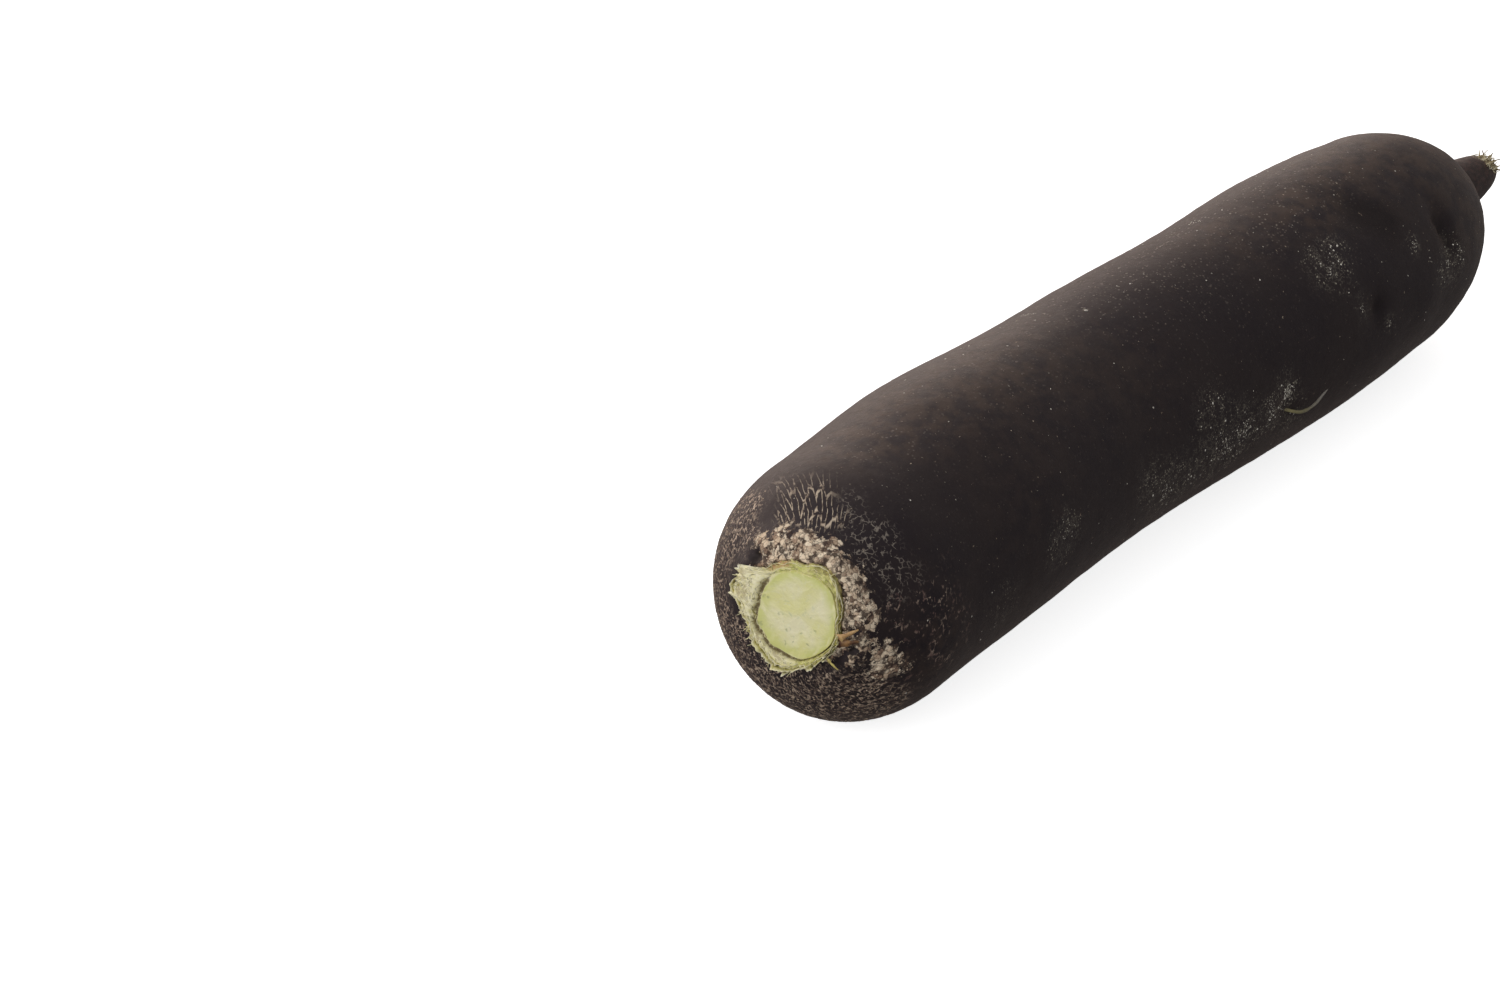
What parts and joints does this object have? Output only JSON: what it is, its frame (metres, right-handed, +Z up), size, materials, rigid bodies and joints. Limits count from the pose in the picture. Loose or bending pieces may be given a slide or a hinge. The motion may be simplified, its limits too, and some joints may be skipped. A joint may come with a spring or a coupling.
{
  "type": "black radish",
  "caption": "Long black radish lying on its side, with corky black skin, a cut pale-green leaf stump at the crown and a short snapped tail.",
  "frame": {"origin": "on the resting plane, under the middle of the radish's bounding box", "axes": "+X along the root from the cut crown to the tail, +Z up from the surface it lies on"},
  "size_m": [0.2918, 0.0582, 0.0566],
  "materials": {
    "black_skin": "matte, rough corky skin",
    "pale_green_flesh": "moist cut vegetable flesh, satin"
  },
  "bodies": {
    "root": {"root": "black_skin", "leaf_stump": "pale_green_flesh"}
  },
  "joints": []
}
